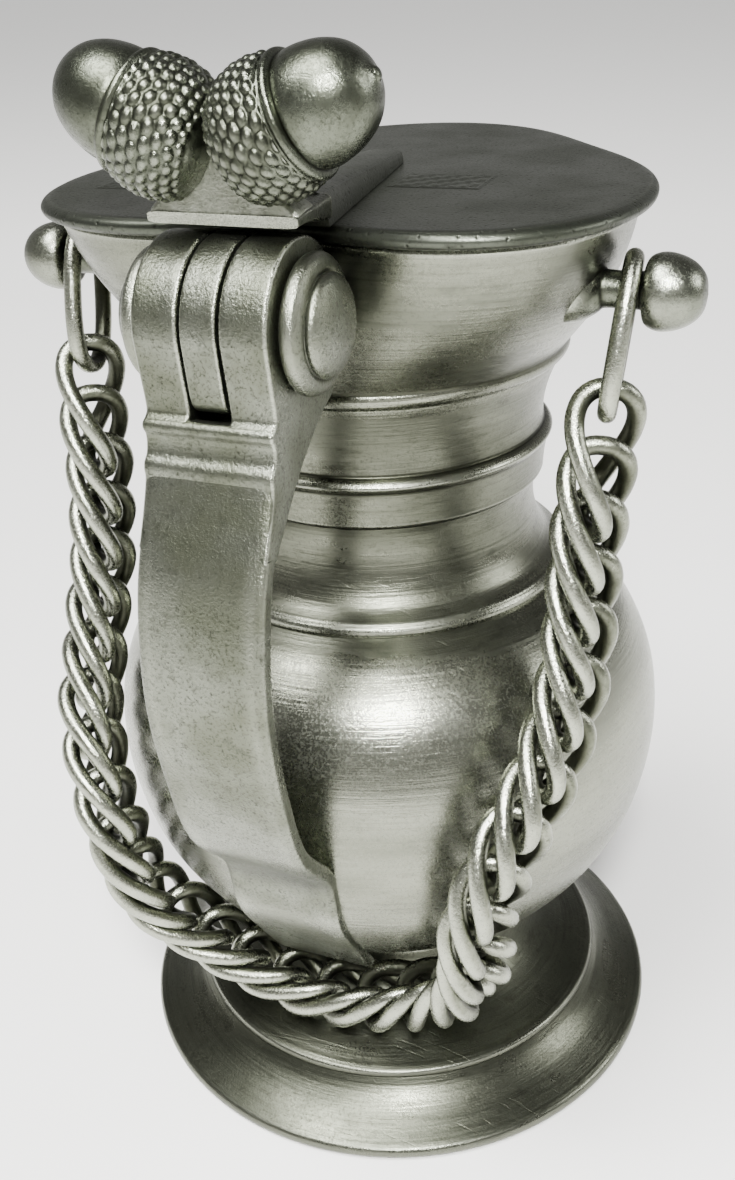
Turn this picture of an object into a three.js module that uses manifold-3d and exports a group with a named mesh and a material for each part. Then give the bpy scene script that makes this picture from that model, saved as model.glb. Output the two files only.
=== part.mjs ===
// A pewter flagon with a heart-shaped lid, a strap handle, a twin-acorn thumbpiece and a carrying chain.
// Millimetres, +Z up. The origin is the centre of the foot on the table. The handle is towards -Y,
// the pouring lip towards +Y and the two chain studs along X.

import * as THREE from 'three';
import { mergeVertices } from 'three/addons/utils/BufferGeometryUtils.js';
import Module from 'manifold-3d';

const wasm = await Module();
wasm.setup();

// ---------- driving dimensions ----------

const WALL = 2.2;              // pewter wall of the vessel
const GAP = 0.3;               // clearance between pieces that touch
const AROUND = 32;             // steps round a turned piece

const FOOT_RADIUS = 62.4;
const FOOT_TOP = 29;           // the waist, where the bowl is soldered on
const WAIST_RADIUS = 28.6;
const BOWL_TOP = 120.6;        // lowest of the three turned rings
const NECK_TOP = 166.6;        // highest of the three turned rings
const RIM = 197;               // top of the mouth
const LID_THICKNESS = 2.9;
const LID_OVERHANG = 3;

const HINGE = new THREE.Vector3(0, -57, 187.4);
const BARREL_RADIUS = 13.6;
const BARREL_HALF = 11.9;      // half the length of the three knuckles together
const KNUCKLE_HALF = 3.1;      // half the length of the middle knuckle
const PIN_RADIUS = 3;
const PIN_HEAD_RADIUS = 11.2;
const PIN_HEAD_DEPTH = 6.8;
const STRAP_HALF = 11.7;

const ACORN_START = 2;         // from the centre plane to the base of a cup, along the acorn
const CUP_RADIUS = 10.3;
const CUP_DEPTH = 15;
const NUT_RADIUS = 8.6;
const ACORN_LENGTH = 30;
const ACORN_TILT = THREE.MathUtils.degToRad(24);
const ACORN_ROOT = new THREE.Vector3(0, -58, 213);

const STUD_Y = -17;
const STUD_Z = 185;
const SHAFT_RADIUS = 3.3;
const HEAD_START = 57.4;       // distance of the stud's head from the centre plane
const HEAD_DEPTH = 10.6;
const HEAD_RADIUS = 6.6;

const LINK_WIRE = 1.6;         // radius of the chain's wire
const LINK_HALF = 13.1;        // half the length of a link, on the wire's centre line
const LINK_SIDE = 7;           // half its width
const LINK_TWIST = THREE.MathUtils.degToRad(-60);
const LINK_COUNT = 33;
const CHAIN_LEAN = THREE.MathUtils.degToRad(3);   // how far the whole chain is rolled about itself
const END_WIRE = 1.8;
const END_HALF = 13.4;
const END_SIDE = 7.4;
const END_X = 54.7;
const END_TURN = THREE.MathUtils.degToRad(14);   // how far the end links are turned on the studs

// ---------- materials ----------

function pewter(colour, roughness) {
  return new THREE.MeshStandardMaterial({ color: colour, roughness: roughness, metalness: 1 });
}
const turned = pewter(0x8d8a82, 0.38);
const cast = pewter(0x85827a, 0.5);
const dark = pewter(0x6c6c67, 0.55);
const wire = pewter(0x95938c, 0.35);

// ---------- small tools ----------

// A closed geometry as a solid that can be joined and cut.
function solid(geometry) {
  const bare = geometry.clone();
  bare.deleteAttribute('normal');
  bare.deleteAttribute('uv');
  const merged = mergeVertices(bare, 1e-4);
  return new wasm.Manifold(new wasm.Mesh({
    numProp: 3,
    vertProperties: new Float32Array(merged.attributes.position.array),
    triVerts: new Uint32Array(merged.index.array),
  }));
}

// The solid's faces as a geometry again.
function geometryOf(body) {
  const mesh = body.getMesh();
  const geometry = new THREE.BufferGeometry();
  geometry.setAttribute('position', new THREE.BufferAttribute(mesh.vertProperties, 3));
  geometry.setIndex(new THREE.BufferAttribute(mesh.triVerts, 1));
  geometry.computeVertexNormals();
  return geometry;
}

// A profile of [radius, height] pairs turned about +Z.
function turn(profile, around = AROUND) {
  const points = profile.map(([radius, height]) => new THREE.Vector2(radius, height));
  return new THREE.LatheGeometry(points, around).rotateX(Math.PI / 2);
}

// A smooth stretch of profile through a few points.
function smooth(points, steps) {
  const curve = new THREE.SplineCurve(points.map(([radius, height]) => new THREE.Vector2(radius, height)));
  return curve.getPoints(steps).map((point) => [point.x, point.y]);
}

// The same profile moved inwards by the wall, in the opposite order.
function inside(profile, wall = WALL) {
  return profile.map(([radius, height]) => [radius - wall, height]).reverse();
}

// A turned shape whose axis is X instead of Z, pointing to +X or -X.
function turnAboutX(profile, side, around) {
  return turn(profile, around).rotateY(side * Math.PI / 2);
}

// A rod along X between two ends.
function rodAlongX(radius, from, to, y, z, around = 32) {
  const rod = new THREE.CylinderGeometry(radius, radius, to - from, around).rotateZ(Math.PI / 2);
  return rod.translate((from + to) / 2, y, z);
}

// A shape drawn in the Y-Z plane and extruded along X, centred on the plane X = 0.
function slab(shape, width, curveSegments = 10) {
  const geometry = new THREE.ExtrudeGeometry(shape, { depth: width, bevelEnabled: false, curveSegments });
  return geometry.translate(0, 0, -width / 2).applyMatrix4(new THREE.Matrix4().makeBasis(
    new THREE.Vector3(0, 1, 0), new THREE.Vector3(0, 0, 1), new THREE.Vector3(1, 0, 0)));
}

const model = new THREE.Group();

function add(name, geometry, material, parent = model) {
  const mesh = new THREE.Mesh(geometry, material);
  mesh.name = name;
  parent.add(mesh);
  return mesh;
}

// ---------- the heart-shaped mouth ----------

// Radius of the rim's outline at an angle from the pouring lip: a circle with a three-lobed swell,
// which makes a lip at the front and two lobes beside the hinge, with a hollow at the hinge itself.
const HEART = [52.1, 0.6, -1.3, 6.3, -0.6, 1.5];
function heart(angle) {
  return HEART.reduce((sum, size, order) => sum + size * Math.cos(order * angle), 0);
}

// Turned geometry pulled out to the heart: the pull grows from nothing at one height to all of it at another.
function pullToHeart(geometry, round, low, high) {
  const at = geometry.attributes.position;
  for (let i = 0; i < at.count; i++) {
    const x = at.getX(i);
    const y = at.getY(i);
    const share = THREE.MathUtils.clamp((at.getZ(i) - low) / (high - low), 0, 1);
    const radius = Math.hypot(x, y);
    const scale = 1 + share * (heart(Math.atan2(x, y)) - HEART[0]) / round * Math.min(1, radius / (round - WALL));
    at.setXY(i, x * scale, y * scale);
  }
  return geometry;
}

// ---------- the vessel ----------

const footTop = [[FOOT_RADIUS, 0], [FOOT_RADIUS, 2.4], [58, 4.6], [52.5, 8.2], [48.8, 11], [48.6, 12.6],
  [41, 15.5], [34, 20], [30, 25.5], [WAIST_RADIUS, FOOT_TOP]];
const footUnder = [[26.2, FOOT_TOP], [27.6, 24.8], [31.8, 18.6], [39.5, 13.2], [50, 7.2], [57.2, 2.6], [57.2, 0]];
add('foot', turn([...footTop, ...footUnder, footTop[0]]), dark);
add('base_disc', turn([[0, 0], [57.2 - GAP, 0], [57.2 - GAP, 1.6], [0, 1.6]]), dark);

const bowlSide = smooth([[30.2, 31.5], [37.7, 38], [48.5, 48], [56, 60], [59.6, 72], [60.7, 84], [59.1, 96],
  [53.7, 108], [46.6, 115.5], [38.8, BOWL_TOP - 0.6]], 11);
const bowlOuter = [[0, FOOT_TOP + GAP], [WAIST_RADIUS, FOOT_TOP + GAP], ...bowlSide];
const bowlInner = [...inside(bowlSide), [0, 32]];
add('bowl', turn([...bowlOuter, ...bowlInner]), turned);

const neckSide = [[39.6, BOWL_TOP + 0.1], [39.4, 122.4], [36.2, 124.4], [33.4, 129], [32.5, 134.5], [33, 140.4],
  [34.6, 141.6], [35.6, 145], [35.9, 149], [34.4, 150.4], [34.5, 156], [36, 161.5], [37.4, NECK_TOP - 0.4]];
add('neck', turn([...neckSide, ...inside(neckSide), neckSide[0]]), turned);

const mouthLow = NECK_TOP;
const mouthSide = [[38.9, mouthLow], [39, 168.4], [42, 172.4], [45.6, 177.6], [48.8, 184], [50.9, 190.5], [52.1, RIM]];
function mouthShell(profile) {
  return pullToHeart(turn(profile, 2 * AROUND), HEART[0], mouthLow, RIM);
}
add('mouth', mouthShell([...mouthSide, ...inside(mouthSide), mouthSide[0]]), turned);

// The vessel filled solid and grown by the clearance, to trim what is soldered against it.
const grown = (profile) => profile.map(([radius, height]) => [radius + GAP, height]);
const mouthTrim = solid(mouthShell([[0, mouthLow - 0.2], ...grown(mouthSide), [52.1 + GAP, RIM + 1], [0, RIM + 1]]));
const neckTrim = solid(turn([[0, BOWL_TOP - 0.4], ...grown(neckSide), [0, NECK_TOP]]));
const bowlTrim = solid(turn([[0, FOOT_TOP], ...grown(bowlSide), [0, BOWL_TOP]]));

// ---------- handle, with the two fixed knuckles ----------

function knuckleRod(radius, from, to) {
  return solid(rodAlongX(radius, from, to, HINGE.y, HINGE.z, 40));
}

const handleSide = new THREE.Shape();
handleSide.moveTo(-36, 172);
handleSide.lineTo(HINGE.y + 6, 171.5);
handleSide.quadraticCurveTo(-67, 163, -75.4, 146);
handleSide.quadraticCurveTo(-79.4, 126, -74.4, 108);
handleSide.quadraticCurveTo(-70, 92, -58.6, 79);
handleSide.lineTo(-54, 60);
handleSide.lineTo(-36, 41.5);
handleSide.lineTo(-40, 38.6);
handleSide.lineTo(-44.6, 38.8);
handleSide.quadraticCurveTo(-58.6, 55, -61.8, 75.4);
handleSide.quadraticCurveTo(-74.5, 90, -78.4, 108);
handleSide.quadraticCurveTo(-83.4, 128, -79, 146);
handleSide.quadraticCurveTo(-74.6, 159, -69.6, 167);
handleSide.lineTo(-69.4, 172.6);
handleSide.lineTo(HINGE.y - BARREL_RADIUS, 176);
handleSide.lineTo(HINGE.y - BARREL_RADIUS, HINGE.z);
handleSide.absarc(HINGE.y, HINGE.z, BARREL_RADIUS, Math.PI, 0, true);
handleSide.lineTo(-36, 184);

const slotHalf = KNUCKLE_HALF + 0.45;
const handle = solid(slab(handleSide, 2 * STRAP_HALF))
  .subtract(knuckleRod(BARREL_RADIUS + 0.7, -slotHalf, slotHalf))
  .subtract(solid(new THREE.BoxGeometry(2 * slotHalf, 24, 14).translate(0, HINGE.y - 12, HINGE.z - 7)))
  .subtract(knuckleRod(PIN_RADIUS + GAP, -20, 20))
  .subtract(mouthTrim)
  .subtract(neckTrim)
  .subtract(bowlTrim);
add('handle', geometryOf(handle), cast);

// ---------- hinge pin with its two domed heads ----------

add('hinge_pin', rodAlongX(PIN_RADIUS, -BARREL_HALF, BARREL_HALF, HINGE.y, HINGE.z, 20), cast);

const headSide = [[0, 0], [PIN_HEAD_RADIUS - 0.8, 0], [PIN_HEAD_RADIUS, 1], [10.6, 2.6], [8.8, 3.9], [8, 3.9],
  [7, 5.1], [4.6, 6.3], [0, PIN_HEAD_DEPTH]];
for (const [side, name] of [[-1, 'left'], [1, 'right']]) {
  const head = add('pin_head_' + name, turnAboutX(headSide, side, 24), cast);
  head.position.set(side * (BARREL_HALF + GAP), HINGE.y, HINGE.z);
}

// ---------- lid with its hinge strap and thumbpiece ----------

const lidRound = HEART[0] + LID_OVERHANG;
const lidLow = RIM + GAP;
const lidTop = lidLow + LID_THICKNESS;
const lidSide = [[0, lidLow], [lidRound - 1.4, lidLow], [lidRound, lidLow + 1], [lidRound, lidTop - 1],
  [lidRound - 1.2, lidTop], [0, lidTop]];
function lidPlate() {
  const plate = turn(lidSide, 2 * AROUND);
  return pullToHeart(plate, lidRound, 0, 1);
}
const hingeRoom = knuckleRod(BARREL_RADIUS + 0.8, -BARREL_HALF - 0.8, BARREL_HALF + 0.8)
  .add(knuckleRod(PIN_HEAD_RADIUS + 0.8, -20, 20));
add('lid', geometryOf(solid(lidPlate()).subtract(hingeRoom)), dark);

// The strap on the lid: a wedge that narrows and thins towards the middle of the lid.
const strapBack = -47;
const strapFront = 9;
const strapPlan = new THREE.Shape();
strapPlan.moveTo(-12.6, strapBack);
strapPlan.lineTo(12.6, strapBack);
strapPlan.lineTo(4, strapFront);
strapPlan.lineTo(-4, strapFront);
const wedge = solid(new THREE.ExtrudeGeometry(strapPlan, { depth: 8, bevelEnabled: false })
  .translate(0, 0, lidTop + GAP));
const slope = new THREE.Shape();
slope.moveTo(-70, lidTop + 5.8);
slope.lineTo(strapBack, lidTop + 5.8);
slope.lineTo(strapFront, lidTop + 2.2);
slope.lineTo(20, lidTop + 2.2);
slope.lineTo(20, 195);
slope.lineTo(-70, 195);
const saddle = solid(new THREE.BoxGeometry(24, 18, 4).translate(0, -55.6, lidTop + 3.8));
const knuckleNeck = solid(new THREE.BoxGeometry(2 * KNUCKLE_HALF, 18, 12).translate(0, -54, lidTop - 2));
const hingeStrap = wedge
  .intersect(solid(slab(slope, 60)))
  .add(saddle)
  .add(knuckleNeck.subtract(knuckleRod(BARREL_RADIUS - 1, -5, 5)))
  .add(knuckleRod(BARREL_RADIUS, -KNUCKLE_HALF, KNUCKLE_HALF))
  .subtract(knuckleRod(PIN_RADIUS + GAP, -20, 20))
  .subtract(solid(lidPlate().translate(0, 0, GAP)).subtract(knuckleRod(BARREL_RADIUS + 0.7, -40, 40)));
add('hinge_strap', geometryOf(hingeStrap), dark);

// One acorn, pointing along +Z from the base of its cup.
const cupMiddle = 0.62 * CUP_DEPTH;
const acornSide = [[0, 0], [5.2, 0.7], [8.6, 3.4], [CUP_RADIUS, cupMiddle - 1.6], [CUP_RADIUS - 0.2, CUP_DEPTH - 2],
  [NUT_RADIUS + 0.5, CUP_DEPTH], [NUT_RADIUS, CUP_DEPTH + 0.4], [8.2, 21], [6.2, 25.4], [3.2, 28.4], [1.4, 28.9],
  [0, ACORN_LENGTH - ACORN_START + 1]];
const acornRoom = [];
for (const [side, name] of [[-1, 'left'], [1, 'right']]) {
  const acorn = add('acorn_' + name, turn(acornSide, 20), cast);
  acorn.position.copy(ACORN_ROOT).x += side * ACORN_START;
  acorn.rotation.y = side * (Math.PI / 2 - ACORN_TILT);
  acorn.updateMatrix();
  const fat = turn(acornSide.map(([radius, height]) => [radius && radius + GAP, height - GAP]), 20);
  acornRoom.push(solid(fat.applyMatrix4(acorn.matrix)));
}

// The saddle under the acorns, a short block that widens to the hinge strap.
const saddleTop = lidTop + 5.8 + GAP;
const baseFront = new THREE.Shape();
baseFront.moveTo(-11.4, saddleTop);
baseFront.lineTo(11.4, saddleTop);
baseFront.lineTo(8, 217);
baseFront.lineTo(-8, 217);
const thumbBase = solid(new THREE.ExtrudeGeometry(baseFront, { depth: 13, bevelEnabled: false })
  .rotateX(Math.PI / 2).translate(0, -51.5, 0));
add('thumb_base', geometryOf(thumbBase.subtract(acornRoom[0]).subtract(acornRoom[1])), cast);

// ---------- chain studs ----------

const studStart = 40;
const studSide = [[0, 0], [6.4, 0], [5, 8.6], [SHAFT_RADIUS, 9.8], [SHAFT_RADIUS, HEAD_START - studStart],
  [5.4, HEAD_START - studStart + 0.6], [HEAD_RADIUS, HEAD_START - studStart + 2.6],
  [6.2, HEAD_START - studStart + 5.4], [4.4, HEAD_START - studStart + 8.6], [2, HEAD_START - studStart + 10.2],
  [0, HEAD_START - studStart + HEAD_DEPTH]];
for (const [side, name] of [[-1, 'left'], [1, 'right']]) {
  const stud = solid(turnAboutX(studSide, side, 16).translate(side * studStart, STUD_Y, STUD_Z));
  add('stud_' + name, geometryOf(stud.subtract(mouthTrim)), cast);
}

// ---------- carrying chain ----------

// The chain's centre line from the right stud to the middle of the back. The left half mirrors it.
// It hangs down the side, lies against the bowl, and settles in the waist under the end of the handle.
const chainHalf = [[END_X, STUD_Y, STUD_Z], [53.4, -22.3, 168.2], [52.4, -25.7, 152.8], [51.6, -28.5, 137.3],
  [51.5, -32.4, 122.1], [50.5, -39.6, 108.1], [47.3, -48.7, 95.7], [42.6, -54.7, 82], [39.1, -54.8, 66.8],
  [36.2, -50.2, 52.1], [28.1, -44.6, 39.9], [15.3, -41.7, 31.4], [0, -40.9, 28.1]];
const rightHalf = chainHalf.map(([x, y, z]) => new THREE.Vector3(x, y, z));
const leftHalf = chainHalf.slice(0, -1).map(([x, y, z]) => new THREE.Vector3(-x, y, z)).reverse();
const chainLine = new THREE.CatmullRomCurve3([...rightHalf, ...leftHalf], false, 'centripetal');
chainLine.arcLengthDivisions = 800;
const chainLength = chainLine.getLength();

// A link bent from round wire: a long oval that twists about the chain's own direction.
class LinkLine extends THREE.Curve {
  constructor(half, side, twist) {
    super();
    this.half = half;
    this.side = side;
    this.twist = twist;
  }

  getPoint(t, target = new THREE.Vector3()) {
    const along = LinkLine.bulge(Math.cos(2 * Math.PI * t));
    const across = this.side * LinkLine.bulge(Math.sin(2 * Math.PI * t));
    const roll = this.twist * along;
    return target.set(this.half * along, across * Math.cos(roll), across * Math.sin(roll));
  }

  static bulge(value) {
    return Math.sign(value) * Math.abs(value) ** 0.8;
  }
}

// A place on the chain: X along it, Y out from the vessel at the back, Z across. The frames follow the line
// without spinning about it, so that each link meets the next at the same angle all the way.
const frameSteps = 2000;
const frames = chainLine.computeFrenetFrames(frameSteps);
const middle = frameSteps / 2;
const backwards = new THREE.Vector3(0, -1, 0);
const CHAIN_ROLL = Math.atan2(backwards.dot(frames.binormals[middle]), backwards.dot(frames.normals[middle]))
  + CHAIN_LEAN;

function chainPlace(distance) {
  const step = Math.round(distance / chainLength * frameSteps);
  const along = frames.tangents[step];
  const out = frames.normals[step].clone().applyAxisAngle(along, CHAIN_ROLL);
  const across = new THREE.Vector3().crossVectors(along, out);
  return new THREE.Matrix4().makeBasis(along, out, across)
    .setPosition(chainLine.getPointAt(distance / chainLength));
}

const linkGeometry = new THREE.TubeGeometry(
  new LinkLine(LINK_HALF, LINK_SIDE, LINK_TWIST), 12, LINK_WIRE, 6, true);
const endEye = END_HALF - SHAFT_RADIUS - END_WIRE - GAP;
const firstLink = endEye + END_HALF - END_WIRE - LINK_WIRE - 4.0 * GAP + LINK_HALF;
const pitch = (chainLength - 2 * firstLink) / (LINK_COUNT - 1);
const chain = new THREE.Group();
model.add(chain);
for (let i = 0; i < LINK_COUNT; i++) {
  const link = add('chain_link_' + String(i + 1).padStart(2, '0'), linkGeometry, wire, chain);
  link.applyMatrix4(chainPlace(firstLink + i * pitch));
}

const endGeometry = new THREE.TubeGeometry(new LinkLine(END_HALF, END_SIDE, 0), 14, END_WIRE, 6, true);
for (const [side, name] of [[1, 'right'], [-1, 'left']]) {
  const link = add('end_link_' + name, endGeometry, wire, chain);
  const top = new THREE.Vector3(side * END_X, STUD_Y, STUD_Z);
  const below = chainLine.getPointAt((endEye + END_HALF) / chainLength);
  const down = below.setX(side * below.x).sub(top).normalize();
  const across = new THREE.Vector3(side * Math.cos(END_TURN), Math.sin(side * END_TURN), 0);
  const out = new THREE.Vector3().crossVectors(across, down).normalize();
  across.crossVectors(down, out);
  link.applyMatrix4(new THREE.Matrix4().makeBasis(down, out, across).setPosition(top.addScaledVector(down, endEye)));
}


export default model;
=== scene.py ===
import bpy
import numpy as np
from mathutils import Matrix, Vector


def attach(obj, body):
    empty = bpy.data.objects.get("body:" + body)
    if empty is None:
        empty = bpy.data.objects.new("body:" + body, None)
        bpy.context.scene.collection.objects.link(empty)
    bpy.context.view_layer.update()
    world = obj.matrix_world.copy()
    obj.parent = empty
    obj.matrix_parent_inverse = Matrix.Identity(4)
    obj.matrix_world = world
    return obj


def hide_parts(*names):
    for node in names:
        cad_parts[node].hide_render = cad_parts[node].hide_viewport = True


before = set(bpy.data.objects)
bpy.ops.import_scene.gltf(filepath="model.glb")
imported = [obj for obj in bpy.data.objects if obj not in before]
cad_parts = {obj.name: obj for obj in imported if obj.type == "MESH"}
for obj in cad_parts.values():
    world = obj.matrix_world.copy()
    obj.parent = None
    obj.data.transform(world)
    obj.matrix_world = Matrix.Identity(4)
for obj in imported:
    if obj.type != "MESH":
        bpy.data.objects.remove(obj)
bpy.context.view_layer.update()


# ---------------------------------------------------------------- foot
# The wide foot is spun and turned pewter, hollow from below and closed by a thin disc.
# Its edge is rounded by wear, and a small step runs round the slope.
MM = 0.001


def flow(points, steps=8):
    """A smooth line through the points: between two points a cubic whose slope at each one is
    half the difference of its neighbours, weighted by the spacing to the power 0.5."""
    p = np.array(points, float)
    p = np.vstack([2 * p[0] - p[1], p, 2 * p[-1] - p[-2]])
    gap = np.maximum(np.linalg.norm(np.diff(p, axis=0), axis=1), 1e-9) ** 0.5
    out = []
    for i in range(1, len(p) - 2):
        g0, g1, g2 = gap[i - 1], gap[i], gap[i + 1]
        m1 = ((p[i] - p[i - 1]) / g0 - (p[i + 1] - p[i - 1]) / (g0 + g1) + (p[i + 1] - p[i]) / g1) * g1
        m2 = ((p[i + 1] - p[i]) / g1 - (p[i + 2] - p[i]) / (g1 + g2) + (p[i + 2] - p[i + 1]) / g2) * g1
        t = np.linspace(0, 1, steps, endpoint=False)[:, None]
        out.append((2 * t**3 - 3 * t**2 + 1) * p[i] + (t**3 - 2 * t**2 + t) * m1
                   + (3 * t**2 - 2 * t**3) * p[i + 1] + (t**3 - t**2) * m2)
    return np.vstack(out + [p[-2:-1]])


def standing_out(mesh):
    """How far each vertex stands out from the surface about it, from -1 in a hollow to 1 on an edge: its
    distance along its normal from the average of its neighbours, taken several times over."""
    averagings, full_wear = 10, 0.3 * MM
    count = len(mesh.vertices)
    place, normal = np.zeros(count * 3), np.zeros(count * 3)
    mesh.vertices.foreach_get("co", place)
    mesh.vertex_normals.foreach_get("vector", normal)
    place, normal = place.reshape(-1, 3), normal.reshape(-1, 3)
    ends = np.zeros(len(mesh.edges) * 2, int)
    mesh.edges.foreach_get("vertices", ends)
    a, b = ends[0::2], ends[1::2]
    here, there = np.concatenate([a, b]), np.concatenate([b, a])
    degree = np.maximum(np.bincount(here, minlength=count), 1)
    average = place.copy()
    for _ in range(averagings):
        average = np.stack([np.bincount(here, average[there, k], count) / degree for k in range(3)], -1)
    return np.clip(((place - average) * normal).sum(1) / full_wear, -1, 1)


def skin(name, points, ends, material, body, nodes=(), sharp=50, wear_or_painted_shade=None, wear_or_shade_scale=1.0):
    """A closed mesh over a grid of points in millimetres. Each row is a loop that closes on itself.
    ends is "ring" where the last row joins the first, "poles" where the first and the last row are
    one point each, and "flat" where each of the two is closed by one face. The faces point outwards.
    The attribute says where hands have worn the metal bright and where dirt stays. A negative scale, as
    on the stamped marks, turns it round, so that it paints shade on raised parts and light in hollows. It
    is given for each point, or else found from the mesh and multiplied by the scale argument."""
    p = np.asarray(points, float) * MM
    rows, cols = p.shape[:2]
    column = np.arange(cols)
    following = (column + 1) % cols
    if ends == "poles":
        vertices = np.vstack([p[0, :1], p[1:-1].reshape(-1, 3), p[-1, :1]])
        ring = 1 + np.arange(rows - 2)[:, None] * cols + column
        last = len(vertices) - 1
        faces = [[0, a, b] for a, b in zip(ring[0], ring[0][following])]
        faces += [[last, b, a] for a, b in zip(ring[-1], ring[-1][following])]
    else:
        vertices = p.reshape(-1, 3)
        ring = np.arange(rows)[:, None] * cols + column
        faces = []
        if ends == "ring":
            ring = np.vstack([ring, ring[:1]])
        if ends == "flat":
            faces = [ring[0].tolist(), ring[-1][::-1].tolist()]
    a, b = ring[:-1], ring[1:]
    quads = np.stack([a, b, b[:, following], a[:, following]], -1).reshape(-1, 4)
    faces = faces + quads.tolist()
    mesh = bpy.data.meshes.new(name)
    mesh.from_pydata(vertices.tolist(), [], faces)
    a, b, c = vertices[quads[:, 0]], vertices[quads[:, 1]], vertices[quads[:, 2]]
    d = vertices[quads[:, 3]]
    volume = (np.einsum("ij,ij->i", a, np.cross(b, c)).sum()
              + np.einsum("ij,ij->i", a, np.cross(c, d)).sum())
    if ends == "flat":
        for row, sign in ((vertices[ring[0]], 1), (vertices[ring[-1]], -1)):
            volume += sign * np.einsum("ij,ij->i", row.mean(0)[None, :].repeat(cols, 0),
                                       np.cross(row, np.roll(row, -1, 0))).sum()
    if volume < 0:
        mesh.flip_normals()
    mesh.update()
    mesh.shade_smooth()
    mesh.set_sharp_from_angle(angle=np.radians(sharp))
    mesh.materials.append(material)
    worn_or_shaded = wear_or_shade_scale * standing_out(mesh) if wear_or_painted_shade is None else wear_or_painted_shade.ravel()
    mesh.attributes.new("wear_or_painted_shade", "FLOAT", "POINT").data.foreach_set("value", worn_or_shaded.astype(np.float32))
    piece = bpy.data.objects.new(name, mesh)
    bpy.context.scene.collection.objects.link(piece)
    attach(piece, body)
    if nodes:
        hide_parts(*nodes)


def turned_on_z(profile, around=256):
    """A profile of radius and height turned about +Z: row = profile point, column = angle."""
    profile = np.asarray(profile, float)
    angle = np.linspace(0, 2 * np.pi, around, endpoint=False)
    return np.stack([profile[:, :1] * np.sin(angle), profile[:, :1] * np.cos(angle),
                     np.repeat(profile[:, 1:], around, 1)], -1)


def rgb(code):
    """An sRGB colour code as linear red, green, blue and alpha."""
    c = np.array([int(code[i:i + 2], 16) for i in (1, 3, 5)]) / 255
    return (*np.where(c > 0.04045, ((c + 0.055) / 1.055) ** 2.4, c / 12.92), 1)


def node(tree, kind, inputs=None, **settings):
    """Adds a shader node, sets its settings, and sets or links its inputs."""
    made = tree.nodes.new(kind)
    for key, value in settings.items():
        setattr(made, key, value)
    for key, value in (inputs or {}).items():
        if isinstance(value, bpy.types.NodeSocket):
            tree.links.new(value, made.inputs[key])
        else:
            made.inputs[key].default_value = value
    return made


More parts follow.
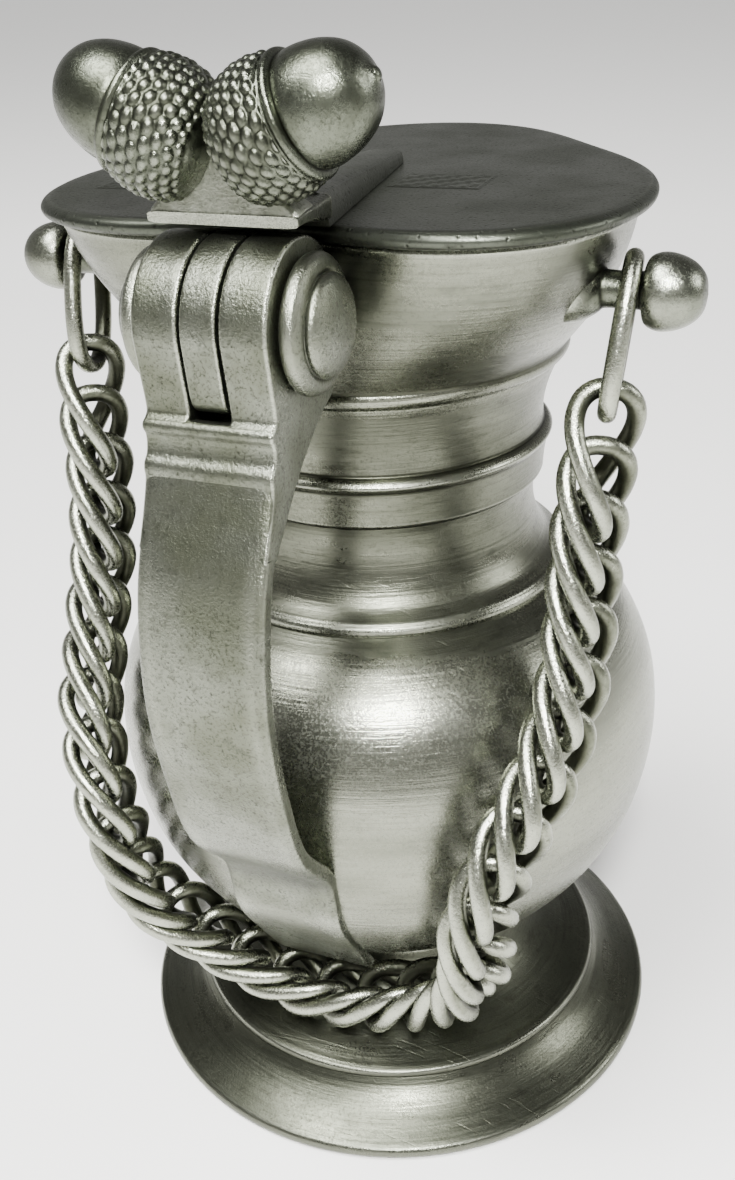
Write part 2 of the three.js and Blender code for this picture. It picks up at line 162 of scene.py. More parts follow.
def pewter(name, light, mid, stain, rough, rings=0.0, pits=0.0, cloud=9.0, grain=0.15, speckled=0.4,
           bright="#B0B3A4"):
    """Old pewter: a grey metal clouded by a dull skin, with darker stains, fine scratches and, where it
    was turned, rings round the upright axis. It is stained in hollows and bright where it is worn. On the
    stamped marks, where the attribute is turned round, these two colours are painted shade and painted
    light.
    light, mid, stain and bright are colours, cloud is the clouds' size, and rings, pits and grain are
    depths. Sizes are in millimetres."""
    material = bpy.data.materials.new(name)
    material.use_nodes = True
    tree = material.node_tree
    shader = tree.nodes["Principled BSDF"]
    where = node(tree, "ShaderNodeTexCoord").outputs["Object"]
    place = node(tree, "ShaderNodeVectorMath", {0: where, 3: 1000.0}, operation="SCALE").outputs[0]

    def noise(scale_mm, detail, roughness=0.55, stretch=(1, 1, 1), distortion=0.0):
        at = node(tree, "ShaderNodeMapping", {"Vector": place, "Scale": stretch}).outputs[0]
        return node(tree, "ShaderNodeTexNoise", {"Vector": at, "Scale": 1 / scale_mm, "Detail": detail,
                    "Roughness": roughness, "Distortion": distortion}).outputs["Fac"]

    def span(value, low, high, to_low=0.0, to_high=1.0):
        made = node(tree, "ShaderNodeMapRange", {"Value": value, "From Min": low, "From Max": high,
                    "To Min": to_low, "To Max": to_high}, interpolation_type="SMOOTHSTEP")
        return made.outputs["Result"]

    def sums(operation, a, b, c=0.5):
        return node(tree, "ShaderNodeMath", {0: a, 1: b, 2: c}, operation=operation).outputs[0]

    def mixed(share, a, b):
        made = node(tree, "ShaderNodeMix", {"Factor": share}, data_type="RGBA")
        for key, value in ((6, a), (7, b)):
            if isinstance(value, bpy.types.NodeSocket):
                tree.links.new(value, made.inputs[key])
            else:
                made.inputs[key].default_value = value
        return made.outputs[2]

    # Dull clouds, with dark spots and fine dark specks over them. All are drawn out round a turned piece.
    flat = (0.35, 0.35, 1) if rings else (1, 1, 1)
    clouds = noise(cloud, 4, 0.55, stretch=flat)
    speckle = noise(0.55, 3, 0.75)
    spots = noise(2.2, 4, 0.7, stretch=flat)
    colour = mixed(span(clouds, 0.32, 0.68), rgb(mid), rgb(light))
    colour = mixed(sums("MULTIPLY", span(spots, 0.5, 0.8), 0.55), colour, rgb(stain))
    colour = mixed(sums("MULTIPLY", span(speckle, 0.5, 0.72), speckled), colour, rgb(stain))
    roughness = sums("MULTIPLY_ADD", span(clouds, 0.3, 0.7), -0.08, rough + 0.04)
    roughness = sums("MULTIPLY_ADD", span(speckle, 0.45, 0.7), 0.12, roughness)
    height = sums("MULTIPLY", speckle, grain)
    # Rings left by the turning tool, and pits of the casting.
    if rings:
        turning = noise(0.7, 3, 0.75, stretch=(0.02, 0.02, 1))
        height = sums("MULTIPLY_ADD", turning, rings, height)
        colour = mixed(sums("MULTIPLY", span(turning, 0.5, 0.7), 0.3), colour, rgb(stain))
    if pits:
        cells = node(tree, "ShaderNodeTexVoronoi", {"Vector": place, "Scale": 0.7, "Randomness": 1.0})
        pit = span(cells.outputs["Distance"], 0.0, 0.3)
        height = sums("MULTIPLY_ADD", pit, pits, height)
        colour = mixed(sums("MULTIPLY", sums("SUBTRACT", 1.0, pit), 0.5), colour, rgb(stain))
    # Dirt in the hollows and bright metal where it is worn (on the stamped marks, painted shade on raised
    # parts and painted light between them), and a few scratches.
    worn_or_shaded = node(tree, "ShaderNodeAttribute", attribute_name="wear_or_painted_shade").outputs["Fac"]
    colour = mixed(sums("MULTIPLY", span(worn_or_shaded, 0.0, -0.7), 0.85), colour, rgb(stain))
    colour = mixed(sums("MULTIPLY", span(worn_or_shaded, 0.15, 1.0), 0.6), colour, rgb(bright))
    roughness = sums("MULTIPLY_ADD", worn_or_shaded, -0.06, roughness)
    scratch = noise(1.3, 1, 0.5, stretch=(0.07, 1.2, 0.5), distortion=0.15)
    height = sums("MULTIPLY_ADD", span(scratch, 0.68, 0.72), -0.06, height)
    bump = node(tree, "ShaderNodeBump", {"Height": height, "Strength": 0.5, "Distance": 0.0005})
    tree.links.new(colour, shader.inputs["Base Color"])
    tree.links.new(roughness, shader.inputs["Roughness"])
    tree.links.new(bump.outputs[0], shader.inputs["Normal"])
    shader.inputs["Metallic"].default_value = 1.0
    return material


# Pewter of the foot: the darkest skin, olive grey, with turning rings.
foot_pewter = pewter("Dark turned pewter", "#53554A", "#3E4037", "#1A1A13", 0.31, rings=0.3)

foot_outside = np.vstack([
    flow([[61.6, 0], [62.3, 0.6], [62.4, 1.5], [62.0, 2.4], [60.9, 3.1]], 6),
    flow([[60.6, 3.2], [57.6, 4.7], [54.2, 6.6], [51.0, 9.0], [49.3, 10.9]], 8),
    flow([[49.4, 11.3], [49.1, 12.2], [47.8, 12.9]], 6),
    flow([[47.4, 13.0], [41.6, 15.4], [35.6, 18.9], [31.4, 23.2], [29.2, 27.6], [28.6, 29.4]], 8)])
foot_inside = flow([[26.2, 29.4], [27.6, 24.8], [31.8, 18.6], [39.5, 13.2], [50, 7.2], [57.2, 2.6],
                    [57.2, 0]], 6)
skin("foot_visual", turned_on_z(np.vstack([foot_outside, foot_inside])), "ring", foot_pewter,
     "vessel", ["foot"])
disc = np.vstack([[[0, 0]], flow([[56.2, 0], [56.9, 0.8], [56.2, 1.6]], 4), [[0, 1.6]]])
skin("base_disc_visual", turned_on_z(disc, 96), "poles", foot_pewter, "vessel",
     ["base_disc"])


# ---------------------------------------------------------------- bowl
# The round belly is turned pewter, soldered to the foot at the waist and to the neck at the lowest ring.
# It shows fine rings from the lathe.
WALL = 2.2
BOWL_FLOOR_POINTS = 5

# Pewter of the bowl, the neck and the mouth: a lighter skin, cleaned now and then, with turning rings.
body_pewter = pewter("Turned pewter", "#707265", "#515348", "#22231A", 0.28, rings=0.4, cloud=14.0,
                     speckled=0.3)

bowl_side = flow([[28.6, 29.6], [30.2, 31.7], [37.7, 38], [48.5, 48], [56, 60], [59.6, 72], [60.7, 84],
                  [59.1, 96], [53.7, 108], [46.6, 115.5], [40.2, 119.6]], 10)
bowl_lip = flow([[39.6, 119.9], [39.2, 120.2], [38.6, 120.4]], 4)
bowl_inside = bowl_side[:BOWL_FLOOR_POINTS:-1] - [WALL, 0]
bowl = np.vstack([[[0, 29.6]], bowl_side, bowl_lip, bowl_inside, [[0, 32.4]]])
skin("bowl_visual", turned_on_z(bowl), "poles", body_pewter, "vessel", ["bowl"])


# ---------------------------------------------------------------- neck
# The neck is turned pewter with three rings: one at each joint, where the solder was turned smooth,
# and a broad one between them.
neck_side = np.vstack([
    flow([[39.0, 119.4], [40.0, 120.2], [40.1, 121.4], [39.1, 122.6]], 5),
    flow([[38.6, 122.8], [36.2, 124.6], [33.9, 128.4], [32.7, 133.0], [32.7, 138.0], [33.2, 140.0]], 7),
    flow([[33.4, 140.2], [34.5, 141.0], [34.6, 142.0], [34.9, 145.0], [35.5, 148.2]], 5),
    flow([[35.9, 148.6], [36.3, 149.5], [35.6, 150.5], [34.7, 150.9]], 5),
    flow([[34.4, 151.2], [34.4, 154.5], [35.1, 158.5], [36.4, 162.4], [37.6, 165.0], [38.0, 166.2]], 7)])
neck = np.vstack([neck_side, neck_side[::-3] - [WALL, 0]])
skin("neck_visual", turned_on_z(neck), "ring", body_pewter, "vessel", ["neck"])


# ---------------------------------------------------------------- mouth
# The mouth is turned round and then hammered out to a heart: a lip at the front, a lobe on each side
# of the hinge, and a hollow at the hinge.
HEART = [52.1, 0.6, -1.3, 6.3, -0.6, 1.5]
NECK_TOP, RIM = 166.6, 197.0


def pulled_to_heart(points, round_radius, low, high):
    """Turned points moved outwards by a share of the heart: the heart's radius is the sum of its
    numbers times the cosine of that many times the angle from the lip, and the share grows from
    nothing at the low height to all of it at the high one."""
    p = np.array(points)
    angle = np.arctan2(p[..., 0], p[..., 1])
    outline = sum(size * np.cos(order * angle) for order, size in enumerate(HEART))
    radius = np.hypot(p[..., 0], p[..., 1])
    share = (np.clip((p[..., 2] - low) / (high - low), 0, 1)
             * np.minimum(1, radius / (round_radius - WALL)))
    scale = 1 + share * (outline - HEART[0]) / round_radius
    p[..., 0] *= scale
    p[..., 1] *= scale
    return p


mouth_side = np.vstack([
    flow([[37.9, 165.4], [39.0, 166.3], [39.5, 167.5], [39.2, 168.8]], 5),
    flow([[39.3, 169.1], [42.1, 172.6], [45.6, 177.6], [48.8, 184], [50.9, 190.5], [52.0, 196.0]], 10),
    flow([[52.05, 196.3], [51.7, 196.9], [51.1, 197.0]], 4)])
mouth = np.vstack([mouth_side, mouth_side[:3:-1] - [WALL, 0]])
skin("mouth_visual", pulled_to_heart(turned_on_z(mouth, 320), HEART[0], NECK_TOP, RIM), "ring",
     body_pewter, "vessel", ["mouth"])


# ---------------------------------------------------------------- lid
# The lid is a flat cast plate, dull and finely pitted on top, with a rounded edge and room at the back
# for the hinge. Its two stamped marks are plain here, without any letters.
LID_LOW, LID_TOP = 197.3, 200.2
LID_ROUND = HEART[0] + 3
HINGE_Y, HINGE_Z = -57.0, 187.4

# Pewter of the lid: dull, with small pits and hardly any shine, and dark, partly as painted shade for the
# dark room above that its flat top faces.
lid_pewter_and_painted_shade = pewter("Dull pitted pewter with painted shade", "#4C4F47", "#3A3D35", "#1C1D17", 0.40, pits=0.4, cloud=18.0)

lid_profile = np.vstack([
    [[0, LID_LOW]], [[r, LID_LOW] for r in np.linspace(4, 52, 13)],
    flow([[53.8, LID_LOW], [54.8, LID_LOW + 0.6], [55.1, LID_LOW + 1.5], [54.7, LID_TOP - 0.6],
          [53.6, LID_TOP]], 6),
    [[r, LID_TOP] for r in np.linspace(52, 4, 25)], [[0, LID_TOP]]])
lid_points = pulled_to_heart(turned_on_z(lid_profile, 320), LID_ROUND, 0, 1)


def hinge_room(p):
    """Points kept out of the hinge: any that lie nearer the hinge's axis than the knuckles, or than the
    heads beside them, move forwards until they don't. The change is rounded at the ends of both by a
    logistic curve."""
    knuckles_end, knuckles_reach = 12.9, 14.3
    heads_end, heads_reach = 19.4, 11.9
    wide = 1 / (1 + np.exp((np.abs(p[..., 0]) - knuckles_end) / 0.12))
    heads = 1 / (1 + np.exp((np.abs(p[..., 0]) - heads_end) / 0.15))
    reach = np.maximum(knuckles_reach * wide, heads_reach * heads)
    up = p[..., 2] - HINGE_Z
    forward = HINGE_Y + np.sqrt(np.maximum(reach**2 - up**2, 0))
    p = np.array(p)
    p[..., 1] = np.where(reach > np.abs(up), np.maximum(p[..., 1], forward), p[..., 1])
    return p


skin("lid_visual", hinge_room(lid_points), "poles", lid_pewter_and_painted_shade, "lid", ["lid"], wear_or_shade_scale=0.3)


def stamped_mark(name, centre, direction, length, width, ribs):
    """A stamped mark: a low frame round three rows of small waves. Row = along the mark, column = once
    round its section. The height is a bell curve at the frame, plus inside it the product of two
    cosines, one along the mark and one across it."""
    frame_in, frame_wide, frame_high = 0.6, 0.32, 0.10
    field_in, field_slope, wave_high, wave_rows = 0.9, 0.3, 0.22, 3
    proud, sunk = 0.02, 0.6
    along = np.linspace(-0.5, 0.5, 121) * length
    across = np.linspace(-0.5, 0.5, 61) * width
    u, v = np.meshgrid(along, across, indexing="ij")
    edge = np.minimum(length / 2 - np.abs(u), width / 2 - np.abs(v))
    field = np.clip((edge - field_in) / field_slope, 0, 1)
    border = np.exp(-((edge - frame_in) / frame_wide) ** 2)
    slant = u * 0.6
    waves = 0.5 + 0.5 * np.cos(2 * np.pi * ribs * u / length) * np.cos(
        wave_rows * 2 * np.pi * v / width + slant)
    height = LID_TOP + proud + frame_high * border + field * wave_high * waves
    height[edge < proud] = LID_TOP + proud
    top = np.stack([u, v, height], -1)
    low = top[:, [-1, 0]] * [1, 1, 0] + [0, 0, LID_TOP - sunk]
    section = np.concatenate([top, low], 1)
    turn = np.array([[direction[0], direction[1]], [-direction[1], direction[0]]])
    section[..., :2] = section[..., :2] @ turn + centre
    # Here the scale is negative, so the raised frame and waves are painted dark as shade and the hollows
    # between them are painted light, so that the mark reads as sunk into the lid.
    skin(name, section, "flat", lid_pewter_and_painted_shade, "lid", sharp=70, wear_or_shade_scale=-0.5)


heading = np.array([30, 1]) / np.hypot(30, 1)
stamped_mark("lid_mark_large", (17.8, -7.6), heading, 17.5, 13.0, 5)
stamped_mark("lid_mark_small", (-41.0, -21.0), heading, 9, 7.5, 3)


# ---------------------------------------------------------------- handle
# The strap handle is cast, then bent and filed. Two knuckles stand at its top, and from there the strap
# falls in a long curve to the bowl, where its end lies against the wall as a tongue.
STRAP_HALF = 11.7
BARREL = 13.6
KNUCKLE_HALF = 3.1
KNUCKLE_GAP = 0.5
WEB_REACH = 16.9

# Pewter of the handle and the hinge: cast and filed, with a coarse grain and many dark specks.
handle_pewter = pewter("Coarse cast pewter", "#72756A", "#575A4C", "#1F2017", 0.30, cloud=14.0, grain=0.6,
                       speckled=0.75)


def strap(line, halves, thick, steps=140):
    """A flat bar swept along a line in the Y-Z plane: row = place on the line, column = once round a
    rectangle with rounded corners, as wide and thick as the bar is there. Its sides are the cosine and
    the sine of the angle, each raised to a small power, the smaller the squarer."""
    path = flow(line, 24)
    run = np.concatenate([[0], np.cumsum(np.linalg.norm(np.diff(path, axis=0), axis=1))])
    at = np.linspace(0, run[-1], steps)
    y, z = np.interp(at, run, path[:, 0]), np.interp(at, run, path[:, 1])
    dy, dz = np.gradient(y), np.gradient(z)
    length = np.hypot(dy, dz)
    normal = np.stack([dz / length, -dy / length], -1)
    share = at / run[-1]
    half = np.interp(share, np.linspace(0, 1, len(halves)), halves)
    deep = np.interp(share, np.linspace(0, 1, len(thick)), thick) / 2
    around = 64
    angle = np.linspace(0, 2 * np.pi, around, endpoint=False) + np.pi / around
    power, softer = 0.16, 2.4
    across = np.sign(np.cos(angle)) * np.abs(np.cos(angle)) ** power
    through = np.sign(np.sin(angle)) * np.abs(np.sin(angle)) ** (power * softer)
    x = half[:, None] * across
    out = deep[:, None] * through
    return np.stack([x, y[:, None] + normal[:, :1] * out, z[:, None] + normal[:, 1:] * out], -1)


strap_line = [[-42.6, 40.2], [-49.4, 50.5], [-57.2, 63.6], [-60.2, 77.2], [-71.6, 92.2], [-76.6, 108.4],
              [-79.4, 127], [-77.2, 146], [-72.2, 158.8], [-69.6, 165.2]]
strap_points = strap(strap_line, [11.5, 11.7, 11.7, 11.7, 11.7], [2.4, 3.2, 3.6, 3.8, 4.2])
skin("handle_strap", strap_points, "flat", handle_pewter, "vessel", ["handle"])


def slab(outline, start, end, bevel=0.7):
    """An outline in the Y-Z plane, pushed out along X from start to end, with its two edges rounded.
    Row = step along X, column = outline point, moved inwards by the edge's quarter circle. The second
    result is how worn each point is: the rounded edges are, and the faces aren't."""
    outline = np.asarray(outline, float)
    tangent = np.roll(outline, -1, 0) - np.roll(outline, 1, 0)
    tangent /= np.linalg.norm(tangent, axis=1, keepdims=True)
    area = np.sum(outline[:, 0] * np.roll(outline[:, 1], -1)
                  - outline[:, 1] * np.roll(outline[:, 0], -1))
    inward = np.stack([-tangent[:, 1], tangent[:, 0]], -1) * np.sign(area)
    quarter = np.linspace(0, np.pi / 2, 5)
    inner_rows = 6
    x = np.concatenate([start + bevel * (1 - np.cos(quarter)),
                        np.linspace(start + bevel, end - bevel, inner_rows + 2)[1:-1],
                        end - bevel * (1 - np.cos(quarter[::-1]))])
    inset = np.concatenate([bevel * (1 - np.sin(quarter)), np.zeros(inner_rows),
                            bevel * (1 - np.sin(quarter[::-1]))])
    edge_wear = [0, 0.5, 1, 0.6, 0.1]
    worn = np.concatenate([edge_wear, np.zeros(inner_rows), edge_wear[::-1]])
    rows = outline + inset[:, None, None] * inward
    points = np.concatenate([np.broadcast_to(x[:, None, None], (*rows.shape[:2], 1)), rows], -1)
    return points, np.repeat(worn[:, None], len(outline), 1)


def even(outline, spacing=0.6):
    """The same closed outline with its points evenly spaced."""
    p = np.vstack([outline, outline[:1]])
    run = np.concatenate([[0], np.cumsum(np.linalg.norm(np.diff(p, axis=0), axis=1))])
    at = np.linspace(0, run[-1], int(run[-1] / spacing), endpoint=False)
    return np.column_stack([np.interp(at, run, p[:, 0]), np.interp(at, run, p[:, 1])])


turn_up = np.linspace(np.pi, 0.05, 40)
knuckle_round = np.column_stack([HINGE_Y + BARREL * np.cos(turn_up),
                                 HINGE_Z + BARREL * np.sin(turn_up)])
block_back = flow([[-44.6, 184.5], [-44.4, 179.0], [-46.5, 173.4], [-52.5, 170.3], [-60.5, 164.8],
                   [-67.0, 158.6], [-72.6, 152.6]], 8)
ledge = flow([[-76.4, 154.0], [-73.4, 160.4], [-71.9, 164.6], [-72.0, 165.9], [-71.7, 167.2],
              [-70.6, 168.4], [-70.2, 171.4], [-70.9, 172.6], [-70.7, 173.7], [-69.7, 174.3]], 6)
barrel_front = flow([[-69.0, 175.0], [-69.2, 177.4], [-69.8, 181.5], [-70.5, 186.6]], 8)
block = even(np.vstack([knuckle_round, block_back, ledge, barrel_front]))
for name, start, end in (("knuckle_right", KNUCKLE_HALF + KNUCKLE_GAP, STRAP_HALF),
                         ("knuckle_left", -STRAP_HALF, -KNUCKLE_HALF - KNUCKLE_GAP)):
    points, worn = slab(block, start, end)
    skin(name, points, "flat", handle_pewter, "vessel", wear_or_painted_shade=worn)
room = np.radians(np.linspace(236, 300, 24))
web_top = np.column_stack([HINGE_Y + WEB_REACH * np.cos(room), HINGE_Z + WEB_REACH * np.sin(room)])
web_end = 24
web = even(np.vstack([ledge, web_top, block_back[web_end:]]))
points, worn = slab(web, -STRAP_HALF + 0.3, STRAP_HALF - 0.3, 0.3)
skin("knuckle_web", points, "flat", handle_pewter, "vessel", wear_or_painted_shade=0 * worn)


# ---------------------------------------------------------------- hinge pin
# A round pin goes through the three knuckles. Each end is a domed head with a step round it.
def turned_on_x(profile, side, centre, around=96):
    """A profile of radius and distance turned about X, to the right (side 1) or to the left (-1)."""
    p = turned_on_z(profile, around)
    return np.stack([side * p[..., 2], p[..., 0], p[..., 1]], -1) + centre


pin_profile = [[0, -11.9], [2.6, -11.9], [3.0, -11.5], [3.0, 11.5], [2.6, 11.9], [0, 11.9]]
skin("hinge_pin_visual", turned_on_x(pin_profile, 1, (0, HINGE_Y, HINGE_Z), 48), "poles", handle_pewter,
     "vessel", ["hinge_pin"])
HEAD_X = 12.2
head_profile = np.vstack([
    [[0, 0]],
    flow([[10.2, 0], [11.0, 0.5], [11.3, 1.4], [11.1, 2.4], [10.2, 3.2], [9.0, 3.5], [8.3, 3.3]], 6),
    flow([[8.2, 3.4], [8.3, 4.2], [7.8, 5.0], [6.2, 5.9], [3.4, 6.6], [0, 6.85]], 6)])
for side, name in ((-1, "left"), (1, "right")):
    skin("pin_head_visual_" + name, turned_on_x(head_profile, side, (side * HEAD_X, HINGE_Y, HINGE_Z)),
         "poles", handle_pewter, "vessel", ["pin_head_" + name])


# ---------------------------------------------------------------- hinge strap
# A wedge soldered to the lid gets thinner and narrower towards the middle. At the back it carries the
# middle knuckle and a flat saddle that hangs over the two outer knuckles.
over = np.radians(np.linspace(-90, 180, 90))
tail = flow([[-70.5, 186.6], [-69.9, 181.5], [-69.3, 177.6], [-68.7, 176.2], [-67.4, 175.2],
             [-63.0, 174.0]], 8)
barrel = np.column_stack([HINGE_Y + BARREL * np.cos(over), HINGE_Z + BARREL * np.sin(over)])
knuckle = even(np.vstack([barrel, tail]))
points, worn = slab(knuckle, -KNUCKLE_HALF, KNUCKLE_HALF, 0.5)
skin("middle_knuckle", points, "flat", handle_pewter, "lid", ["hinge_strap"], wear_or_painted_shade=worn)

WEDGE_BACK, WEDGE_FRONT, WEDGE_HALF = -47, 9, 12.6
wedge_y = np.linspace(WEDGE_BACK, WEDGE_FRONT, 60)
wedge_share = (wedge_y - WEDGE_BACK) / (WEDGE_FRONT - WEDGE_BACK)
wedge_half = WEDGE_HALF - 8.6 * wedge_share
wedge_high = 5.8 - 3.6 * wedge_share
loop = np.array([[-1, 0], [-0.97, 0.55], [-0.9, 0.86], [-0.78, 0.97], [-0.4, 1.0], [0, 1.0], [0.4, 1.0],
                 [0.78, 0.97], [0.9, 0.86], [0.97, 0.55], [1, 0], [0.5, 0], [-0.5, 0]])
wedge = np.stack([wedge_half[:, None] * loop[:, 0], np.repeat(wedge_y[:, None], len(loop), 1),
                  LID_TOP + 0.1 + wedge_high[:, None] * loop[:, 1]], -1)
wedge[-1, :, 1] += 1.2 * (1 - np.abs(loop[:, 0]))
skin("hinge_wedge", wedge, "flat", lid_pewter_and_painted_shade, "lid", sharp=40,
     wear_or_painted_shade=0.3 * np.abs(wedge[..., 0]) / WEDGE_HALF)

saddle_line = [[-46.0, 203.2], [-52.0, 203.6], [-56.0, 203.7], [-59.4, 203.5]]
saddle = strap(saddle_line, [12.7, 12.9, 13.0, 13.0], [4.6, 3.4, 2.4, 1.8], steps=40)
skin("hinge_saddle", saddle, "flat", handle_pewter, "lid")


# ---------------------------------------------------------------- thumbpiece
# Two cast acorns lean apart on a short block. Their cups are covered with small round grains and end
# in a thin smooth rim, and their nuts are plain with a small point.
THUMB_Y, ACORN_Z = -58.0, 213.0
ACORN_APART, ACORN_SQUEEZE = 1.4, 0.96
ACORN_TILT = np.radians(24)

# Pewter of the acorns and the studs: cast, dark between the grains and polished by the thumb.
acorn_pewter = pewter("Cast acorn pewter", "#62665A", "#484B40", "#1A1B14", 0.28, cloud=8.0, grain=0.3,
                      speckled=0.5)
# Pewter of the block under the acorns: pale, as if scraped clean after soldering.
block_pewter = pewter("Scraped pewter", "#989B8E", "#797C6E", "#36372C", 0.34, cloud=3.5, grain=0.7)


def acorn(side):
    """One acorn about its own axis, then tilted: row = place along it, column = angle. The grains are
    round bumps in staggered rows, highest at their middles and nothing between them: a grain's height
    is one less the square of the distance from its middle. Slow sines make the rows a little uneven."""
    cup = flow([[0.01, -0.6], [5.6, 0.5], [8.9, 3.4], [10.3, 7.6], [10.2, 11.2], [9.5, 13.6]], 26)
    rim = flow([[9.6, 13.7], [9.9, 14.3], [9.7, 14.9], [9.1, 15.2]], 6)
    nut = flow([[8.7, 15.3], [8.9, 16.6], [8.7, 19.0], [7.9, 22.0], [6.3, 24.9], [4.0, 26.9], [1.8, 27.8],
                [1.2, 28.1], [0.8, 28.5], [0.01, 28.7]], 8)
    profile = np.vstack([cup, rim, nut])
    around = 300
    p = turned_on_z(profile, around)
    run = np.concatenate([[0], np.cumsum(np.linalg.norm(np.diff(profile, axis=0), axis=1))])
    angle = np.linspace(0, 2 * np.pi, around, endpoint=False)
    row_gap, grains_around, grain_radius, grain_high = 1.9, 25, 0.5, 0.5
    line = run[:, None] / row_gap + 0.14 * np.sin(5 * angle)[None, :]
    row_number = np.round(line)
    stagger = 0.5 * (row_number % 2)
    column = angle[None, :] * grains_around / (2 * np.pi) + stagger + 0.17 * np.sin(3 * angle)[None, :]
    narrower = np.minimum(1, profile[:, :1] / 8)
    away = np.hypot(line - row_number, (column - np.round(column)) * narrower)
    grains = np.clip(1 - (away / grain_radius) ** 2, 0, 1) ** 0.8 * grain_high
    smooth_tip, smooth_rim_rows = 1.0, 4
    shown = (np.clip((profile[:, 1] - smooth_tip) / 0.8, 0, 1)
             * (np.arange(len(profile)) < len(cup) - smooth_rim_rows))
    height = grains * shown[:, None]
    slope = np.gradient(profile, axis=0)
    slope /= np.maximum(np.linalg.norm(slope, axis=1, keepdims=True), 1e-9)
    outward = np.column_stack([slope[:, 1], -slope[:, 0]])
    p[..., 0] += height * outward[:, :1] * np.sin(angle)
    p[..., 1] += height * outward[:, :1] * np.cos(angle)
    p[..., 2] += height * outward[:, 1:]
    c, s = np.cos(np.pi / 2 - ACORN_TILT), np.sin(np.pi / 2 - ACORN_TILT)
    x = side * (p[..., 0] * c + p[..., 2] * s)
    z = -p[..., 0] * s + p[..., 2] * c
    return np.stack([x * ACORN_SQUEEZE + side * ACORN_APART, p[..., 1] + THUMB_Y, z + ACORN_Z], -1)


for side, name in ((-1, "left"), (1, "right")):
    skin("acorn_visual_" + name, acorn(side), "poles", acorn_pewter, "lid",
         ["acorn_" + name])

base_front = flow([[-13.0, 203.4], [-12.6, 204.8], [-10.6, 206.6], [-8.6, 209.6], [-7.6, 213.5],
                   [-5.4, 218.0], [-2.0, 219.0]], 8)
base_outline = np.vstack([base_front, base_front[::-1] * [-1, 1]])
base, worn = slab(even(base_outline), -1.2, 6.4, 0.9)
thinner = np.interp(base[..., 2], [203.5, 206, 213], [1, 0.85, 0.42])
base = np.stack([base[..., 1], base[..., 0] * thinner + THUMB_Y, base[..., 2]], -1)
skin("thumb_base_visual", base, "flat", block_pewter, "lid", ["thumb_base"],
     wear_or_painted_shade=worn)


# ---------------------------------------------------------------- chain studs
# A cast stud stands out from each side of the mouth: a tapered collar, a thin shank and a knob shaped
# like a mushroom, which keeps the end link on.
STUD_Y, STUD_Z = -17.0, 185.0
stud_profile = np.vstack([
    [[0, 42.0]], flow([[6.6, 43.0], [5.9, 46.6], [4.6, 49.0], [3.4, 50.4]], 6),
    flow([[3.3, 51.0], [3.2, 54.0], [3.3, 57.0]], 5),
    flow([[3.9, 57.4], [5.7, 58.0], [6.6, 59.8], [6.5, 62.4], [5.3, 65.4], [3.2, 67.4], [0, 68.1]], 7)])
for side, name in ((-1, "left"), (1, "right")):
    skin("stud_visual_" + name, turned_on_x(stud_profile, side, (0, STUD_Y, STUD_Z), 72), "poles",
         acorn_pewter, "vessel", ["stud_" + name])


# ---------------------------------------------------------------- carrying chain
# The chain is bent from round pewter wire. Each link is a long oval with a twist, and passes through the
# two links after it, so the chain lies like a rope. A plain oval at each end hangs on a stud.
# Radius of the wire, half the link's length, half its width, its twist, and the number of links.
LINK_WIRE, LINK_HALF, LINK_SIDE, LINK_TWIST, LINK_COUNT = 1.8, 13.1, 7.1, np.radians(-60), 33
# The same for an end link, with the distance it hangs from the middle and its turn about the upright.
END_WIRE, END_HALF, END_SIDE, END_X, END_TURN = 1.7, 13.4, 7.3, 54.7, np.radians(10)
CHAIN_LEAN = np.radians(3)

# Pewter of the wire: the palest, rubbed bright where the links bear on each other and on the hand.
chain_pewter = pewter("Rubbed wire pewter", "#888B7C", "#636657", "#292A20", 0.27, cloud=6.0, grain=0.4,
                      speckled=0.35)

# The chain's line from the right stud to its lowest place, in the middle.
half_line = np.array([
    [END_X, STUD_Y, STUD_Z], [53.4, -22.3, 168.2], [52.4, -25.7, 152.8], [51.6, -28.5, 137.3],
    [51.5, -32.4, 122.1], [50.5, -39.6, 108.1], [47.3, -48.7, 95.7], [42.6, -54.7, 82.0],
    [39.1, -54.8, 66.8], [36.2, -50.2, 52.1], [28.1, -44.6, 39.9], [15.3, -41.7, 31.4], [0, -40.9, 28.1]])
whole_line = flow(np.vstack([half_line, half_line[-2::-1] * [-1, 1, 1]]), 60)
line_run = np.concatenate([[0], np.cumsum(np.linalg.norm(np.diff(whole_line, axis=0), axis=1))])
CHAIN_LENGTH = line_run[-1]
FRAMES = 1200
frame_at = np.linspace(0, CHAIN_LENGTH, FRAMES + 1)
frame_place = np.column_stack([np.interp(frame_at, line_run, whole_line[:, k]) for k in range(3)])
frame_along = np.gradient(frame_place, axis=0)
frame_along /= np.linalg.norm(frame_along, axis=1, keepdims=True)
# Each link's outward direction is carried along the line from the middle, without any spin of its own.
frame_out = np.zeros_like(frame_along)
middle = FRAMES // 2
start = np.array([0, -1.0, 0])
start -= frame_along[middle] * (start @ frame_along[middle])
start /= np.linalg.norm(start)
frame_out[middle] = (start * np.cos(CHAIN_LEAN)
                     + np.cross(frame_along[middle], start) * np.sin(CHAIN_LEAN))
for step in (1, -1):
    for i in range(middle + step, (FRAMES + 1) if step > 0 else -1, step):
        moved = frame_out[i - step] - frame_along[i] * (frame_out[i - step] @ frame_along[i])
        frame_out[i] = moved / np.linalg.norm(moved)


